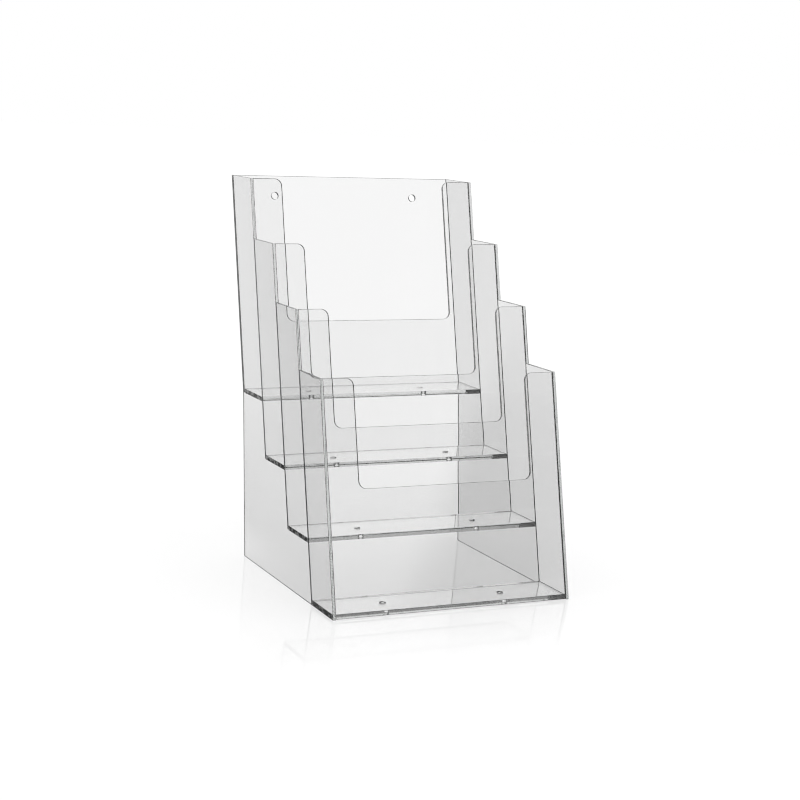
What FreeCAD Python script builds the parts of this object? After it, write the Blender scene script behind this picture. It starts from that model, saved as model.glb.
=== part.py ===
import FreeCAD, Part
import math
import os

import Sketcher

# A clear four-tier table-top brochure rack.
# X runs across the rack, Y from its front to its rear and Z up from the table.
# Eleven flat plates are bonded edge to face: two stepped sides, four leaning
# fronts with a U cut-out, one leaning back with two screw holes, four floors.
# The origin is on the table, at the centre of the rack's outer width and depth.

TIERS = 4

# Driving dimensions, in millimetres and degrees.
DRIVING_SIZES = {
    "outer_width": 165,
    "wall": 2,
    "floor_thickness": 3,
    "lean": 13.5,
    "tier_pitch": 35.3,
    "tier_step": 37.3,
    "pocket_height": 140.4,
    "rear_tier_extra": 2.2,
    "base_depth": 158.9,
    "flange_width": 20.5,
    "corner_radius": 5,
    "lip_tier_1": 73.8,
    "lip_tier_2": 66.5,
    "lip_tier_3": 54.4,
    "lip_tier_4": 49,
    "screw_hole_diameter": 5,
    "screw_hole_spacing": 105,
    "screw_hole_drop": 14,
    "floor_hole_diameter": 4,
    "floor_hole_spacing": 83,
}

ORIGIN_POINT = (-1, 1)
HORIZONTAL_AXIS = -1
VERTICAL_AXIS = -2
START, END, CENTRE = 1, 2, 3

# How the cut-out corners are told apart from a front plate's other edges.
CUTOUT_CORNERS = 4
NEARLY_PARALLEL = 0.999
SIDE_EDGE_MARGIN = 1

doc = FreeCAD.newDocument("brochure_rack")
sheet = doc.addObject("Spreadsheet::Sheet", "Sizes")
for row, (alias, size) in enumerate(DRIVING_SIZES.items(), start=1):
    sheet.set(f"A{row}", alias)
    sheet.set(f"B{row}", str(size))
    sheet.setAlias(f"B{row}", alias)
doc.recompute()

# Lengths that several plates share, as expressions of the sheet's cells.
INNER_WIDTH = "(Sizes.outer_width - 2 * Sizes.wall)"
WALL_RUN = "(Sizes.wall / cos(Sizes.lean))"
FOOT_RISE = "(Sizes.wall * sin(Sizes.lean))"
UPRIGHT_ANGLE = "(90 - Sizes.lean) * 1 deg"


def value(expression):
    """The number that an expression of the sheet's cells comes to."""
    return float(sheet.evalExpression(expression))


def floor_underside(tier):
    """Height of the underside of a tier's floor; tier 1 stands on the table."""
    return f"(Sizes.tier_step * {tier - 1})"


def tier_top(tier):
    """Height of the top edge of a tier's front; the rearmost is a little taller."""
    extra = " + Sizes.rear_tier_extra" if tier == TIERS else ""
    return f"({floor_underside(tier)} + Sizes.floor_thickness + Sizes.pocket_height{extra})"


def face_y(number, height):
    """How far behind the foot of tier 1 upright plate `number` has its front face.

    Plates 1 to 4 are the tier fronts and plate 5 is the back.
    """
    return f"(Sizes.tier_pitch * {number - 1} + {height} * tan(Sizes.lean))"


# The rack reaches from the foot of tier 1 to the top of the back's rear face.
DEPTH = f"({face_y(TIERS + 1, tier_top(TIERS))} + {WALL_RUN})"
FRONT_FOOT_Y = f"(-{DEPTH} / 2)"


def new_body(label):
    body = doc.addObject("PartDesign::Body", label)
    body.Label = label
    return body


def new_sketch(body, name, role):
    """A sketch on one of the body's own origin planes."""
    sketch = body.newObject("Sketcher::SketchObject", name)
    plane = next(item for item in body.Origin.OriginFeatures if item.Role == role)
    sketch.AttachmentSupport = [(plane, "")]
    sketch.MapMode = "FlatFace"
    return sketch


def constrain(sketch, kind, *places):
    sketch.addConstraint(Sketcher.Constraint(kind, *places))


def bind(sketch, name, expression, kind, *places):
    """Add a dimension to a sketch and bind it to the sheet."""
    amount = value(expression)
    if kind == "Angle":
        amount = math.radians(amount)
    index = sketch.addConstraint(Sketcher.Constraint(kind, *places, amount))
    sketch.renameConstraint(index, name)
    sketch.setExpression(f"Constraints.{name}", expression)


def draw_outline(sketch, corners):
    """Draw a closed outline of straight edges through the corners."""
    count = len(corners)
    points = [FreeCAD.Vector(u, v, 0) for u, v in corners]
    for index in range(count):
        edge = Part.LineSegment(points[index], points[(index + 1) % count])
        sketch.addGeometry(edge, False)
    for index in range(count):
        constrain(sketch, "Coincident", index, END, (index + 1) % count, START)


def draw_centred_rectangle(sketch, width, low, high):
    """A rectangle centred on the vertical axis; low is None on the sketch's own base line."""
    half = value(width) / 2
    bottom = value(low) if low else 0
    top = value(high)
    draw_outline(sketch, [(-half, bottom), (half, bottom), (half, top), (-half, top)])
    base, right, ceiling, left = range(4)
    constrain(sketch, "Symmetric", base, START, base, END, VERTICAL_AXIS)
    constrain(sketch, "Vertical", right)
    constrain(sketch, "Vertical", left)
    constrain(sketch, "Horizontal", ceiling)
    bind(sketch, "width", width, "DistanceX", base, START, base, END)
    if low:
        bind(sketch, "low", low, "DistanceY", *ORIGIN_POINT, base, START)
    else:
        constrain(sketch, "PointOnObject", base, START, HORIZONTAL_AXIS)
    bind(sketch, "high", high, "DistanceY", *ORIGIN_POINT, ceiling, START)


def add_pad(body, sketch, length, midplane=False, reversed_=False):
    pad = body.newObject("PartDesign::Pad", f"{body.Name}_pad")
    pad.Profile = sketch
    pad.Midplane = midplane
    pad.Reversed = reversed_
    pad.setExpression("Length", length)
    sketch.Visibility = False
    doc.recompute()
    return pad


def add_through_cut(body, sketch):
    """Cut a sketch right through the body, both ways, and check that it took material away."""
    before = body.Tip.Shape.Volume
    pocket = body.newObject("PartDesign::Pocket", f"{sketch.Name}_cut")
    pocket.Profile = sketch
    pocket.Type = "ThroughAll"
    pocket.Midplane = True
    sketch.Visibility = False
    doc.recompute()
    if pocket.Shape.Volume >= before:
        raise RuntimeError(f"{pocket.Name} took nothing away")
    return pocket


def drill_pair(body, role, spacing, height, diameter):
    """Two round through-holes, centred across the body."""
    sketch = new_sketch(body, f"{body.Name}_holes", role)
    reach = value(spacing) / 2
    for side in (-1, 1):
        centre = FreeCAD.Vector(side * reach, value(height), 0)
        circle = Part.Circle(centre, FreeCAD.Vector(0, 0, 1), value(diameter) / 2)
        sketch.addGeometry(circle, False)
    constrain(sketch, "Equal", 0, 1)
    constrain(sketch, "Symmetric", 0, CENTRE, 1, CENTRE, VERTICAL_AXIS)
    bind(sketch, "spacing", spacing, "DistanceX", 0, CENTRE, 1, CENTRE)
    bind(sketch, "height", height, "DistanceY", *ORIGIN_POINT, 0, CENTRE)
    bind(sketch, "diameter", diameter, "Diameter", 0)
    add_through_cut(body, sketch)


def round_cutout_corners(body, cut):
    """Round the four corners that the U cut-out leaves across the plate's thickness."""
    outer_edge = value(INNER_WIDTH) / 2
    names = []
    for index, edge in enumerate(cut.Shape.Edges, start=1):
        along = edge.tangentAt(edge.FirstParameter)
        crosses_plate = abs(along.y) > NEARLY_PARALLEL
        inside = abs(edge.CenterOfMass.x) < outer_edge - SIDE_EDGE_MARGIN
        if crosses_plate and inside:
            names.append(f"Edge{index}")
    if len(names) != CUTOUT_CORNERS:
        raise RuntimeError(f"{body.Name} has {len(names)} cut-out corners")
    fillet = body.newObject("PartDesign::Fillet", f"{body.Name}_corners")
    fillet.Base = (cut, names)
    fillet.setExpression("Radius", "Sizes.corner_radius")
    doc.recompute()


def make_side_panel(label, inward_x):
    """A flat side plate: a front that climbs in four leaning steps, a leaning rear edge
    down to the rear pocket's floor, and below it a steeper edge down to the table."""
    body = new_body(label)
    sketch = new_sketch(body, f"{label}_profile", "YZ_Plane")
    rear_foot = f"({face_y(TIERS + 1, floor_underside(TIERS))} + {WALL_RUN})"
    corners = []
    for tier in range(1, TIERS + 1):
        foot = tier_top(tier - 1) if tier > 1 else "0"
        corners.append((value(face_y(tier, foot)), value(foot)))
        corners.append((value(face_y(tier, tier_top(tier))), value(tier_top(tier))))
    corners.append((value(DEPTH), value(tier_top(TIERS))))
    corners.append((value(rear_foot), value(floor_underside(TIERS))))
    corners.append((value("Sizes.base_depth"), 0))
    draw_outline(sketch, corners)

    # Edges 0, 2, 4 and 6 are the leaning fronts, and 1, 3, 5 and 7 the level steps.
    rear_edge, lower_rear_edge, base_edge = 8, 9, 10
    constrain(sketch, "Coincident", 0, START, *ORIGIN_POINT)
    constrain(sketch, "Horizontal", base_edge)
    bind(sketch, "lean", UPRIGHT_ANGLE, "Angle", 0)
    for tier in range(1, TIERS + 1):
        front, step = 2 * tier - 2, 2 * tier - 1
        if tier > 1:
            constrain(sketch, "Parallel", 0, front)
        constrain(sketch, "Horizontal", step)
        depth = "Sizes.tier_pitch" if tier < TIERS else f"Sizes.tier_pitch + {WALL_RUN}"
        bind(sketch, f"top_{tier}", tier_top(tier), "DistanceY", *ORIGIN_POINT, front, END)
        bind(sketch, f"step_{tier}", depth, "DistanceX", step, START, step, END)
    constrain(sketch, "Parallel", 0, rear_edge)
    bind(sketch, "rear_foot", floor_underside(TIERS), "DistanceY", *ORIGIN_POINT, rear_edge, END)
    bind(sketch, "base", "Sizes.base_depth", "DistanceX", *ORIGIN_POINT, lower_rear_edge, END)

    add_pad(body, sketch, "Sizes.wall")
    body.setExpression("Placement.Base.x", inward_x)
    body.setExpression("Placement.Base.y", FRONT_FOOT_Y)
    return body


def make_upright_plate(label, number):
    """A leaning plate, cut square, between the side panels.

    It is drawn upright and leans back through its Placement. Its rear lower edge is
    level with the underside of the floor that it stands behind (or in front of, for tier 1).
    """
    body = new_body(label)
    foot = floor_underside(max(number - 1, 1))
    front_foot = f"({foot} + {FOOT_RISE})"
    length = f"(({tier_top(min(number, TIERS))} - {front_foot}) / cos(Sizes.lean))"
    sketch = new_sketch(body, f"{label}_outline", "XZ_Plane")
    draw_centred_rectangle(sketch, INNER_WIDTH, None, length)
    add_pad(body, sketch, "Sizes.wall", reversed_=True)
    if number <= TIERS:
        lip = f"({floor_underside(number)} + Sizes.floor_thickness + Sizes.lip_tier_{number})"
        cut_low = f"(({lip} - {front_foot}) / cos(Sizes.lean))"
        cut_width = f"({INNER_WIDTH} - 2 * Sizes.flange_width)"
        cut_sketch = new_sketch(body, f"{label}_cutout", "XZ_Plane")
        draw_centred_rectangle(cut_sketch, cut_width, cut_low, length)
        round_cutout_corners(body, add_through_cut(body, cut_sketch))
    else:
        height = f"({length} - Sizes.screw_hole_drop)"
        drill_pair(body, "XZ_Plane", "Sizes.screw_hole_spacing", height, "Sizes.screw_hole_diameter")
    body.Placement = FreeCAD.Placement(FreeCAD.Vector(), FreeCAD.Rotation(FreeCAD.Vector(1, 0, 0), -1))
    body.setExpression("Placement.Rotation.Angle", "-Sizes.lean * 1 deg")
    body.setExpression("Placement.Base.y", f"{FRONT_FOOT_Y} + {face_y(number, front_foot)}")
    body.setExpression("Placement.Base.z", front_foot)
    return body


def make_floor(label, tier):
    """A level plate whose front and rear ends lean to meet the upright plates face to face."""
    body = new_body(label)
    depth = f"(Sizes.tier_pitch - {WALL_RUN})"
    top_shift = "(Sizes.floor_thickness * tan(Sizes.lean))"
    sketch = new_sketch(body, f"{label}_section", "YZ_Plane")
    run, rise, shift = value(depth), value("Sizes.floor_thickness"), value(top_shift)
    draw_outline(sketch, [(0, 0), (run, 0), (run + shift, rise), (shift, rise)])
    underside, rear_end, upper_side, front_end = range(4)
    constrain(sketch, "Coincident", underside, START, *ORIGIN_POINT)
    constrain(sketch, "Horizontal", underside)
    constrain(sketch, "Horizontal", upper_side)
    constrain(sketch, "Parallel", rear_end, front_end)
    bind(sketch, "lean", UPRIGHT_ANGLE, "Angle", rear_end)
    bind(sketch, "depth", depth, "DistanceX", underside, START, underside, END)
    bind(sketch, "thickness", "Sizes.floor_thickness", "DistanceY", rear_end, START, rear_end, END)
    add_pad(body, sketch, INNER_WIDTH, midplane=True)
    middle = f"(({depth} + {top_shift}) / 2)"
    drill_pair(body, "XY_Plane", "Sizes.floor_hole_spacing", middle, "Sizes.floor_hole_diameter")
    height = floor_underside(tier)
    body.setExpression("Placement.Base.y", f"{FRONT_FOOT_Y} + {face_y(tier, height)} + {WALL_RUN}")
    body.setExpression("Placement.Base.z", height)
    return body


def check_document(bodies):
    """Stop if any object failed to build or any plate's shape is unsound."""
    for item in doc.Objects:
        if {"Invalid", "Error"} & set(item.State):
            raise RuntimeError(f"{item.Name} did not build: {item.State}")
        if item.isDerivedFrom("Sketcher::SketchObject") and item.solve() != 0:
            raise RuntimeError(f"sketch {item.Name} does not solve")
    for body in bodies:
        shape = body.Shape
        if shape.isNull() or not shape.isValid() or len(shape.Solids) != 1:
            raise RuntimeError(f"{body.Label} is not one sound solid")


bodies = [
    make_side_panel("left_side_panel", "-Sizes.outer_width / 2"),
    make_side_panel("right_side_panel", "Sizes.outer_width / 2 - Sizes.wall"),
]
for tier in range(1, TIERS + 1):
    bodies.append(make_upright_plate(f"tier_{tier}_front_panel", tier))
    bodies.append(make_floor(f"tier_{tier}_floor", tier))
bodies.append(make_upright_plate("back_panel", TIERS + 1))
doc.recompute()

check_document(bodies)
os.makedirs("parts", exist_ok=True)
for body in bodies:
    body.Shape.exportStep(f"parts/{body.Label}.step")
    box = body.Shape.BoundBox
    print(
        f"{body.Label:22s} x {box.XMin:7.2f} {box.XMax:7.2f}  y {box.YMin:7.2f} {box.YMax:7.2f}"
        f"  z {box.ZMin:7.2f} {box.ZMax:7.2f}  volume {body.Shape.Volume:9.1f} mm3"
    )
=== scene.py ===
import math

import bpy
from mathutils import Matrix, Vector


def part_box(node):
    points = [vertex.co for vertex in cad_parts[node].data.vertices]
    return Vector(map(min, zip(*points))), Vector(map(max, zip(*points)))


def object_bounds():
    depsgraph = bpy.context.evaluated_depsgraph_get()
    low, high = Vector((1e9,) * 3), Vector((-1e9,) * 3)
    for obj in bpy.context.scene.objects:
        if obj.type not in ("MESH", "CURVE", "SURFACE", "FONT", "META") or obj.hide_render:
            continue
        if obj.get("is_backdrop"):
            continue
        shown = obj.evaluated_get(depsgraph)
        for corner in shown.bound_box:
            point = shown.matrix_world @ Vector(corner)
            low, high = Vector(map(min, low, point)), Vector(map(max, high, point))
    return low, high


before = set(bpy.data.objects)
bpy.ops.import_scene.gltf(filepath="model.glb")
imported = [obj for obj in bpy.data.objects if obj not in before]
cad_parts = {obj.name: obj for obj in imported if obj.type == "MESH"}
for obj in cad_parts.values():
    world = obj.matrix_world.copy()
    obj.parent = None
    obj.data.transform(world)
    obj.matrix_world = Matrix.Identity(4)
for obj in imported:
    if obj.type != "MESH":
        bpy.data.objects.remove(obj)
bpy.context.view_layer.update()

MM = 0.001
WHITE = (1, 1, 1, 1)
AT_LEAST_ONCE = 0.5  # a count above this is one or more

# Camera: the point it looks at, how far off it stands and on which side. The pixel filter is
# narrower than Blender's default, to keep the plates' edge lines crisp.
CAMERA_AIM = Vector((0.0025, -0.0034, 0.1162))
CAMERA_DISTANCE = 1.188
CAMERA_AZIMUTH = -25.13
CAMERA_ELEVATION = 9.72
CAMERA_ROLL = 2.46
CAMERA_LENS = 80.3
CAMERA_SENSOR = 36
PIXEL_FILTER_WIDTH = 1.1

# The plates' corners are slightly softened, and a hair of air lies in every bonded joint.
CORNER_RADIUS = 0.25 * MM
CORNER_SEGMENTS = 2
JOINT_GAP = 0.02 * MM
MERGE_DISTANCE = 0.001 * MM
FLAT_ANGLE = math.radians(0.5)
SHARP_ANGLE = math.radians(15)

# Clear acrylic sheet. Each pair called ..._NOISE is the span of noise over which a pattern comes in.
PLASTIC_IOR = 1.5
CLEAR_COLOR = WHITE
ABSORBED_COLOR = (0.80, 0.82, 0.81, 1)
ABSORPTION_DENSITY = 8

# Which surface is which, by how squarely it faces along the plate's broad faces (1 is squarely).
# A cut edge faces that way by at most 0.24, and a softened corner by 0.38 or more.
FACE_BORDER = (0.95, 0.99)
CORNER_BORDER = (0.26, 0.34)
SQUARE_TO_SIDE_PANEL = 0.95

# Broad faces: faint haze, and hair-fine scratches in a few patches.
FACE_ROUGHNESS = (0.0, 0.012)
HAZE_PATCH_SIZE = 40 * MM
HAZE_NOISE = (0.45, 0.75)
SCRATCH_ROUGHNESS = 0.10
SCRATCH_LENGTH = 45 * MM
SCRATCH_SCALE = (1, 60, 1)
SCRATCH_TURNS = ((0.3, 0.5, 0.2), (-0.7, 0.2, 1.1))
SCRATCH_NOISE = 0.5  # a scratch lies where its noise crosses this value
SCRATCH_NOISE_WIDTH = 0.004
SCRATCH_PATCH_SIZE = 30 * MM
SCRATCH_PATCH_NOISE = (0.58, 0.66)

# Cut edges, and their scuffed corners: rougher from wear, and tinted dark in patches as painted shade
# that draws dark lines along the edges.
EDGE_ROUGHNESS = (0.0, 0.02)
EDGE_PATCH_SIZE = 3 * MM
EDGE_NOISE = (0.3, 0.7)
EDGE_LINE_SHADE_COLOR = (0.12, 0.12, 0.12, 1)
WORN_ROUGHNESS = 0.3
WORN_AND_SHADED_PATCH_SIZE = 5 * MM
WORN_AND_SHADED_NOISE = (0.3, 0.6)
WORN_AND_SHADED_SHARE = (0.6, 1.0)

# The plate ends cemented to the side panels: shades from well-filled cement to bubbly cement.
CEMENT_SHADES_OF_UPRIGHTS = (0.02, 0.08)
CEMENT_SHADES_OF_FLOORS = (0.02, 0.5)
CEMENT_ROUGHNESS = 0.6
CEMENT_PATCH_SIZE = 4 * MM
CEMENT_NOISE = (0.5, 0.56)
CEMENT_DEPTH = 0.5 * MM

# Unevenness of the surface: long waves in the faces and saw marks on the cut edges.
WAVE_SIZE = 22 * MM
WAVE_HEIGHT = 0.0003 * MM
SAW_MARK_SPACING = 0.5 * MM
SAW_MARK_HEIGHT = 0.0001 * MM

# The studio as the plates reflect it: a lit backdrop behind the rack in a dim room. Light led
# along inside a plate by many reflections has come from all round, so it is evenly bright.
BACKDROP_AZIMUTH = 25
BACKDROP_INNER_ANGLE = 39
BACKDROP_OUTER_ANGLE = 49.2
BACKDROP_TOP = (0.42, 0.62)
BACKDROP_BRIGHTNESS = 1.0
ROOM_BRIGHTNESS = 0.04
TABLE_IN_REFLECTION = 0.03
LED_DEPTH = 4.5  # light is led from the fifth reflection on
LED_BRIGHTNESS = 0.78

# The white table: even glow, a share that takes soft shadows, and a faint gloss near the rack.
TABLE_SIZE = 12
TABLE_SIDES = 96
TABLE_COLOR = (0.9, 0.9, 0.9, 1)
TABLE_LIGHT = 1.15
TABLE_SHADOW_SHARE = 0.28
TABLE_GLOSS_SHARE = 0.2
TABLE_GLOSS_ROUGHNESS = 0.03
TABLE_GLOSS_REACH = 120 * MM
TABLE_GLOW = 1.06
TABLE_GLOW_THROUGH_PLATES = 1.0

# How reflections see the table: mostly as a mirror, but dark close by on the rack's left. The
# border is measured leftwards from the rack's middle, the reach from its middle all round.
TABLE_MIRROR_SHARE = 0.9
LEFT_SHADE_DEPTH = 0.9
LEFT_SHADE_BORDER = (90 * MM, 130 * MM)
LEFT_SHADE_REACH = (0.25, 1.0)

# The shade on the table that shows through the plates, to the rack's right and front. The
# border is measured along SHADE_SIDE, the reach from the rack's middle all round.
SHADE_DEPTH = 0.21
SHADE_SIDE = (1, -0.6, 0)
SHADE_BORDER = (0, 50 * MM)
SHADE_REACH = (0.25, 1.6)


def set_input(tree, socket, value):
    """Link a socket, or set its default where the value is a plain one."""
    if isinstance(value, bpy.types.NodeSocket):
        tree.links.new(value, socket)
    else:
        socket.default_value = value


def add_node(tree, kind, **values):
    """Add a node. Each value sets the input of that name, with _ for a space, or links to it."""
    node = tree.nodes.new(kind)
    for name, value in values.items():
        set_input(tree, node.inputs[name.replace("_", " ")], value)
    return node


def add_math(tree, operation, first, second=0.0):
    node = tree.nodes.new("ShaderNodeMath")
    node.operation = operation
    set_input(tree, node.inputs[0], first)
    set_input(tree, node.inputs[1], second)
    return node.outputs[0]


def add_vector_math(tree, operation, first, second=(0, 0, 0), output="Vector"):
    node = tree.nodes.new("ShaderNodeVectorMath")
    node.operation = operation
    set_input(tree, node.inputs[0], first)
    set_input(tree, node.inputs[1], second)
    return node.outputs[output]


def smooth_step(tree, value, low, high, out_low=0.0, out_high=1.0):
    """out_low where the value is at or below low, rising smoothly to out_high at high."""
    node = add_node(
        tree,
        "ShaderNodeMapRange",
        Value=value,
        From_Min=low,
        From_Max=high,
        To_Min=out_low,
        To_Max=out_high,
    )
    node.interpolation_type = "SMOOTHSTEP"
    return node.outputs["Result"]


def mix_values(tree, factor, low, high):
    node = tree.nodes.new("ShaderNodeMix")
    node.data_type = "FLOAT"
    for name, value in (("Factor", factor), ("A", low), ("B", high)):
        set_input(tree, node.inputs[name], value)
    return node.outputs[0]


def mix_colors(tree, factor, low, high):
    node = tree.nodes.new("ShaderNodeMix")
    node.data_type = "RGBA"
    set_input(tree, node.inputs["Factor"], factor)
    set_input(tree, node.inputs[6], low)
    set_input(tree, node.inputs[7], high)
    return node.outputs[2]


def mix_shaders(tree, factor, low, high):
    node = tree.nodes.new("ShaderNodeMixShader")
    for socket, value in zip(node.inputs, (factor, low, high)):
        set_input(tree, socket, value)
    return node.outputs[0]


def light_path(tree, name):
    return tree.nodes.new("ShaderNodeLightPath").outputs[name]


def add_noise(tree, place, size, detail=2.0):
    """Noise between 0 and 1 whose blotches are about size across."""
    noise = add_node(tree, "ShaderNodeTexNoise", Vector=place, Scale=1 / size, Detail=detail)
    return noise.outputs["Fac"]


def stretched(tree, place, scale, turn):
    """The place scaled, to draw noise out into streaks, then turned, to reach another part of it."""
    node = add_node(tree, "ShaderNodeMapping", Vector=place, Scale=scale, Rotation=turn)
    return node.outputs["Vector"]


def scratch_mask(tree, place):
    """1 on two sets of hair-fine scratches, 0 elsewhere.

    They run mostly across the rack on its uprights and floors, and mostly up and down on its
    side panels.
    """
    masks = []
    for turn in SCRATCH_TURNS:
        drawn_out = stretched(tree, place, SCRATCH_SCALE, turn)
        streak = add_noise(tree, drawn_out, SCRATCH_LENGTH, detail=0)
        line = add_math(tree, "ABSOLUTE", add_math(tree, "SUBTRACT", streak, SCRATCH_NOISE))
        thin = smooth_step(tree, line, 0.0, SCRATCH_NOISE_WIDTH, 1.0, 0.0)
        patch = smooth_step(tree, add_noise(tree, place, SCRATCH_PATCH_SIZE), *SCRATCH_PATCH_NOISE)
        masks.append(add_math(tree, "MULTIPLY", thin, patch))
    return add_math(tree, "MAXIMUM", *masks)


def cement_mask(tree, place, normal):
    """1 on the plate ends that are cemented to the side panels, 0 elsewhere."""
    end_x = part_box("tier_1_floor")[1][0]
    across = add_node(tree, "ShaderNodeSeparateXYZ", Vector=place).outputs["X"]
    outer = add_math(tree, "GREATER_THAN", add_math(tree, "ABSOLUTE", across), end_x - CEMENT_DEPTH)
    sideways = add_vector_math(tree, "DOT_PRODUCT", normal, (1, 0, 0), "Value")
    end = add_math(tree, "GREATER_THAN", add_math(tree, "ABSOLUTE", sideways), SQUARE_TO_SIDE_PANEL)
    return add_math(tree, "MULTIPLY", outer, end)


def make_acrylic(name, face_normal, cement_shades=None):
    """Clear acrylic sheet whose broad faces look along face_normal: glossy faces, polished edges.

    The faces have a very slight waviness, faint handling haze and a few fine scratches. The cut
    edges are a little rougher and keep traces of the saw, and their corners are scuffed rougher
    and tinted dark in patches, a painted shade that draws dark lines along the edges.
    Where cement_shades are given, the ends cemented to the side panels are dark, with paler
    patches where the cement is bubbly.
    """
    material = bpy.data.materials.new(name)
    material.use_nodes = True
    tree = material.node_tree
    shader = tree.nodes["Principled BSDF"]
    shader.inputs["Transmission Weight"].default_value = 1
    shader.inputs["IOR"].default_value = PLASTIC_IOR

    geometry = tree.nodes.new("ShaderNodeNewGeometry")
    place = geometry.outputs["Position"]
    normal = geometry.outputs["True Normal"]
    facing = add_math(
        tree, "ABSOLUTE", add_vector_math(tree, "DOT_PRODUCT", normal, face_normal, "Value")
    )
    edge = smooth_step(tree, facing, *FACE_BORDER, 1.0, 0.0)
    corner = add_math(tree, "MULTIPLY", edge, smooth_step(tree, facing, *CORNER_BORDER))
    scuff_and_shade_noise = add_noise(tree, place, WORN_AND_SHADED_PATCH_SIZE, detail=3)
    scuffs_and_edge_shade = smooth_step(tree, scuff_and_shade_noise, *WORN_AND_SHADED_NOISE, *WORN_AND_SHADED_SHARE)
    wear_and_edge_shade = add_math(tree, "MULTIPLY", corner, scuffs_and_edge_shade)

    haze_noise = add_noise(tree, place, HAZE_PATCH_SIZE, detail=4)
    haze = smooth_step(tree, haze_noise, *HAZE_NOISE, *FACE_ROUGHNESS)
    face_roughness = mix_values(tree, scratch_mask(tree, place), haze, SCRATCH_ROUGHNESS)
    edge_noise = add_noise(tree, place, EDGE_PATCH_SIZE)
    edge_roughness = smooth_step(tree, edge_noise, *EDGE_NOISE, *EDGE_ROUGHNESS)
    roughness = mix_values(tree, edge, face_roughness, edge_roughness)
    roughness = mix_values(tree, wear_and_edge_shade, roughness, WORN_ROUGHNESS)
    # The dark tint on the scuffed corners is painted shade, drawing dark lines along the edges.
    color = mix_colors(tree, wear_and_edge_shade, CLEAR_COLOR, EDGE_LINE_SHADE_COLOR)
    if cement_shades:
        cement = cement_mask(tree, place, normal)
        cement_noise = add_noise(tree, place, CEMENT_PATCH_SIZE)
        patches = smooth_step(tree, cement_noise, *CEMENT_NOISE, *cement_shades)
        roughness = mix_values(tree, cement, roughness, CEMENT_ROUGHNESS)
        color = mix_colors(tree, cement, color, patches)
    tree.links.new(color, shader.inputs["Base Color"])
    tree.links.new(roughness, shader.inputs["Roughness"])

    wave_noise = add_noise(tree, place, WAVE_SIZE, detail=1)
    waves = add_math(tree, "MULTIPLY", wave_noise, WAVE_HEIGHT)
    mark_noise = add_noise(tree, place, SAW_MARK_SPACING, detail=1)
    marks = add_math(tree, "MULTIPLY", mark_noise, SAW_MARK_HEIGHT)
    bump = add_node(
        tree, "ShaderNodeBump", Height=mix_values(tree, edge, waves, marks), Strength=1.0, Distance=1.0
    )
    tree.links.new(bump.outputs["Normal"], shader.inputs["Normal"])

    absorption = add_node(
        tree, "ShaderNodeVolumeAbsorption", Color=ABSORBED_COLOR, Density=ABSORPTION_DENSITY
    )
    tree.links.new(absorption.outputs[0], tree.nodes["Material Output"].inputs["Volume"])
    return material


def make_mesh_group(name, build):
    """A geometry-nodes group. build(tree, mesh) adds its nodes and returns the new mesh's socket."""
    tree = bpy.data.node_groups.new(name, "GeometryNodeTree")
    tree.interface.new_socket("Mesh", in_out="INPUT", socket_type="NodeSocketGeometry")
    tree.interface.new_socket("Mesh", in_out="OUTPUT", socket_type="NodeSocketGeometry")
    start = tree.nodes.new("NodeGroupInput")
    end = tree.nodes.new("NodeGroupOutput")
    tree.links.new(build(tree, start.outputs[0]), end.inputs[0])
    return tree


def join_faces(tree, mesh):
    """Drop the imported normals and merge the doubled corners, so each plate is one closed skin."""
    drop = add_node(tree, "GeometryNodeRemoveAttribute", Geometry=mesh, Name="custom_normal")
    merge = add_node(
        tree, "GeometryNodeMergeByDistance", Geometry=drop.outputs[0], Distance=MERGE_DISTANCE
    )
    return merge.outputs[0]


def shade_by_angle(tree, mesh):
    """Shade smooth across a curve's small facets and sharp across every real corner."""
    smooth = add_node(tree, "GeometryNodeSetShadeSmooth", Geometry=mesh, Shade_Smooth=True)
    angle = tree.nodes.new("GeometryNodeInputMeshEdgeAngle")
    gentle = add_math(tree, "LESS_THAN", angle.outputs["Unsigned Angle"], SHARP_ANGLE)
    edges = add_node(
        tree, "GeometryNodeSetShadeSmooth", Geometry=smooth.outputs[0], Shade_Smooth=gentle
    )
    edges.domain = "EDGE"
    return edges.outputs[0]


def finish_plate(plate, material, join_group, shade_group):
    """Give a plate its material and, by modifiers only, clean faces with softened corners."""
    plate.data.materials.clear()
    plate.data.materials.append(material)
    plate.modifiers.new("join_faces", "NODES").node_group = join_group
    flatten = plate.modifiers.new("merge_flat_faces", "DECIMATE")
    flatten.decimate_type = "DISSOLVE"
    flatten.angle_limit = FLAT_ANGLE
    bevel = plate.modifiers.new("soft_corners", "BEVEL")
    bevel.width = CORNER_RADIUS
    bevel.segments = CORNER_SEGMENTS
    bevel.limit_method = "ANGLE"
    bevel.angle_limit = SHARP_ANGLE
    gap = plate.modifiers.new("joint_gap", "DISPLACE")
    gap.mid_level = 0
    gap.strength = -JOINT_GAP
    plate.modifiers.new("shade_by_angle", "NODES").node_group = shade_group
    normals = plate.modifiers.new("flat_faces", "WEIGHTED_NORMAL")
    normals.mode = "FACE_AREA"
    normals.weight = 100
    normals.keep_sharp = True


def lean_of_uprights():
    """The uprights' backward lean, from how far tier 1's front panel runs back over its height."""
    low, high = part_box("tier_1_front_panel")
    return math.atan2(high[1] - low[1], high[2] - low[2])


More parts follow.
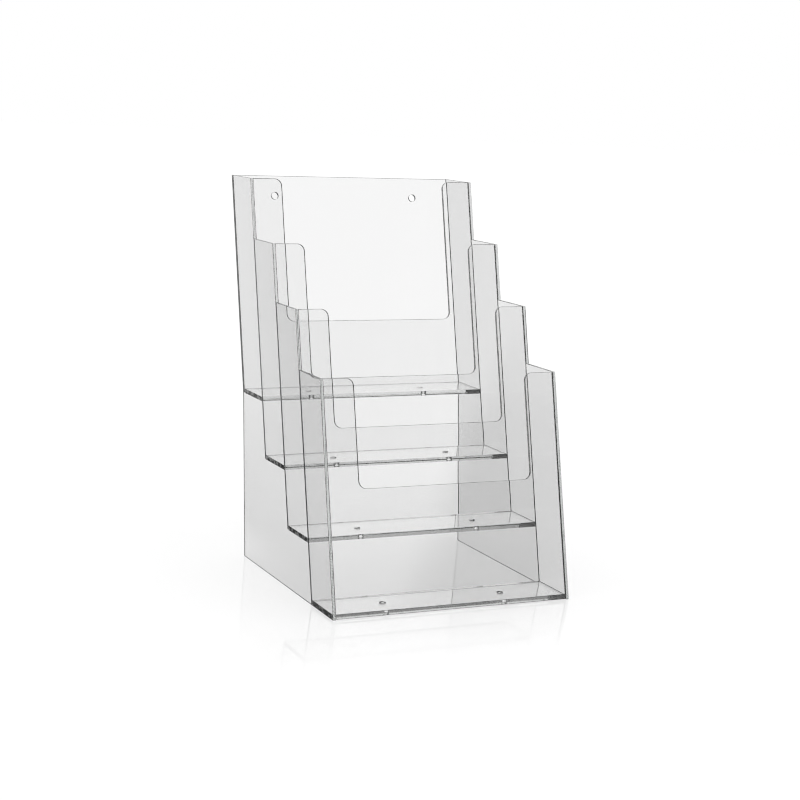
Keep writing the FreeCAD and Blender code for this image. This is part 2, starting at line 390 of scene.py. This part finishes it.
def finish_plates():
    lean = lean_of_uprights()
    sides = make_acrylic("side_panel_acrylic", (1, 0, 0))
    shelves = make_acrylic("floor_acrylic", (0, 0, 1), CEMENT_SHADES_OF_FLOORS)
    uprights = make_acrylic(
        "upright_acrylic", (0, -math.cos(lean), math.sin(lean)), CEMENT_SHADES_OF_UPRIGHTS
    )
    join_group = make_mesh_group("join_faces", join_faces)
    shade_group = make_mesh_group("shade_by_angle", shade_by_angle)
    for name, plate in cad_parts.items():
        if name.endswith("side_panel"):
            material = sides
        elif name.endswith("floor"):
            material = shelves
        else:
            material = uprights
        finish_plate(plate, material, join_group, shade_group)


def in_reflection(tree):
    """1 for light that reached the eye by way of a reflection, 0 for a straight view."""
    return add_math(tree, "GREATER_THAN", light_path(tree, "Glossy Depth"), AT_LEAST_ONCE)


def led_or(tree, brightness):
    """The given brightness, or the even brightness of light led along inside a plate."""
    led = add_math(tree, "GREATER_THAN", light_path(tree, "Glossy Depth"), LED_DEPTH)
    return mix_values(tree, led, brightness, LED_BRIGHTNESS)


def backdrop_brightness(tree, direction):
    """The dim room, with the lit backdrop round one azimuth and below a soft upper border."""
    flat = add_vector_math(tree, "MULTIPLY", direction, (1, 1, 0))
    heading = add_vector_math(tree, "NORMALIZE", flat)
    angle = math.radians(BACKDROP_AZIMUTH)
    middle = (math.sin(angle), math.cos(angle), 0)
    facing = add_vector_math(tree, "DOT_PRODUCT", heading, middle, "Value")
    outer = math.cos(math.radians(BACKDROP_OUTER_ANGLE))
    inner = math.cos(math.radians(BACKDROP_INNER_ANGLE))
    beside = smooth_step(tree, facing, outer, inner)
    height = add_node(tree, "ShaderNodeSeparateXYZ", Vector=direction).outputs["Z"]
    below = smooth_step(tree, height, *BACKDROP_TOP, 1.0, 0.0)
    lit = add_math(tree, "MULTIPLY", beside, below)
    return mix_values(tree, lit, ROOM_BRIGHTNESS, BACKDROP_BRIGHTNESS)


def make_world():
    world = bpy.data.worlds.new("studio")
    bpy.context.scene.world = world
    world.use_nodes = True
    tree = world.node_tree
    direction = tree.nodes.new("ShaderNodeTexCoord").outputs["Generated"]
    reflected = led_or(tree, backdrop_brightness(tree, direction))
    seen = mix_values(tree, in_reflection(tree), 1.0, reflected)
    strength = mix_values(tree, light_path(tree, "Is Diffuse Ray"), seen, TABLE_LIGHT)
    background = tree.nodes["Background"]
    background.inputs["Color"].default_value = WHITE
    tree.links.new(strength, background.inputs["Strength"])


def away_from_rack(tree, place):
    """How far a point of the table is outside the rack's footprint, less than 0 inside it."""
    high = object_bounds()[1]
    split = add_node(tree, "ShaderNodeSeparateXYZ", Vector=place)
    beside = add_math(tree, "SUBTRACT", add_math(tree, "ABSOLUTE", split.outputs["X"]), high[0])
    before = add_math(tree, "SUBTRACT", add_math(tree, "ABSOLUTE", split.outputs["Y"]), high[1])
    return add_math(tree, "MAXIMUM", beside, before)


def table_glow(tree, place):
    """How brightly the table glows.

    It is over-exposed where it is seen freely. Seen through the plates it is plain white, with a
    soft shade to the rack's right and front that fades with distance.
    """
    side = add_vector_math(tree, "DOT_PRODUCT", place, SHADE_SIDE, "Value")
    beside = smooth_step(tree, side, *SHADE_BORDER)
    distance = add_vector_math(tree, "LENGTH", place, output="Value")
    near = smooth_step(tree, distance, *SHADE_REACH, SHADE_DEPTH, 0.0)
    lost = add_math(tree, "MULTIPLY", beside, near)
    shaded = add_math(tree, "SUBTRACT", TABLE_GLOW_THROUGH_PLATES, lost)
    through = add_math(tree, "GREATER_THAN", light_path(tree, "Transmission Depth"), AT_LEAST_ONCE)
    return mix_values(tree, through, TABLE_GLOW, shaded)


def mirror_share(tree, place):
    """How much the table mirrors in a reflection: less close by on the rack's left."""
    across = add_node(tree, "ShaderNodeSeparateXYZ", Vector=place).outputs["X"]
    left = add_math(tree, "MULTIPLY", across, -1)
    beside = smooth_step(tree, left, *LEFT_SHADE_BORDER)
    distance = add_vector_math(tree, "LENGTH", place, output="Value")
    near = smooth_step(tree, distance, *LEFT_SHADE_REACH, LEFT_SHADE_DEPTH, 0.0)
    lost = add_math(tree, "MULTIPLY", beside, near)
    return mix_values(tree, lost, TABLE_MIRROR_SHARE, 0.0)


def make_table():
    bpy.ops.mesh.primitive_circle_add(
        vertices=TABLE_SIDES, radius=TABLE_SIZE, fill_type="NGON", location=(0, 0, 0)
    )
    table = bpy.context.object
    table.name = "studio_table"
    # Staged before away_from_rack() asks for the bounds, so that they leave the table out.
    table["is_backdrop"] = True
    material = bpy.data.materials.new("white_table")
    material.use_nodes = True
    tree = material.node_tree
    tree.nodes.remove(tree.nodes["Principled BSDF"])
    place = tree.nodes.new("ShaderNodeNewGeometry").outputs["Position"]
    matt = add_node(tree, "ShaderNodeBsdfDiffuse", Color=TABLE_COLOR).outputs[0]
    glow = add_node(
        tree, "ShaderNodeEmission", Color=WHITE, Strength=table_glow(tree, place)
    ).outputs[0]
    gloss = add_node(
        tree, "ShaderNodeBsdfGlossy", Color=WHITE, Roughness=TABLE_GLOSS_ROUGHNESS
    ).outputs[0]
    lit = mix_shaders(tree, TABLE_SHADOW_SHARE, glow, matt)
    polish = smooth_step(
        tree, away_from_rack(tree, place), 0, TABLE_GLOSS_REACH, TABLE_GLOSS_SHARE, 0.0
    )
    seen = mix_shaders(tree, polish, lit, gloss)
    dim = add_node(
        tree, "ShaderNodeEmission", Color=WHITE, Strength=led_or(tree, TABLE_IN_REFLECTION)
    ).outputs[0]
    reflected = mix_shaders(tree, mirror_share(tree, place), dim, gloss)
    surface = mix_shaders(tree, in_reflection(tree), seen, reflected)
    tree.links.new(surface, tree.nodes["Material Output"].inputs["Surface"])
    table.data.materials.append(material)


def make_camera():
    data = bpy.data.cameras.new("photo_view")
    data.lens = CAMERA_LENS
    data.sensor_width = CAMERA_SENSOR
    camera = bpy.data.objects.new("photo_view", data)
    bpy.context.scene.collection.objects.link(camera)
    turn = (
        Matrix.Rotation(math.radians(CAMERA_AZIMUTH), 4, "Z")
        @ Matrix.Rotation(math.radians(90 - CAMERA_ELEVATION), 4, "X")
        @ Matrix.Rotation(math.radians(CAMERA_ROLL), 4, "Z")
    )
    back = turn.to_3x3() @ Vector((0, 0, 1))
    camera.matrix_world = Matrix.Translation(CAMERA_AIM + back * CAMERA_DISTANCE) @ turn
    bpy.context.scene.camera = camera


def set_light_paths():
    """Enough bounces for light to run the length of a plate, crisp lines and plain display colours."""
    scene = bpy.context.scene
    scene.view_settings.view_transform = "Standard"
    scene.cycles.filter_width = PIXEL_FILTER_WIDTH
    scene.cycles.max_bounces = 64
    scene.cycles.transmission_bounces = 48
    scene.cycles.glossy_bounces = 45
    scene.cycles.transparent_max_bounces = 16
    scene.cycles.caustics_refractive = True
    scene.cycles.caustics_reflective = False


make_camera()
finish_plates()
make_world()
make_table()
set_light_paths()
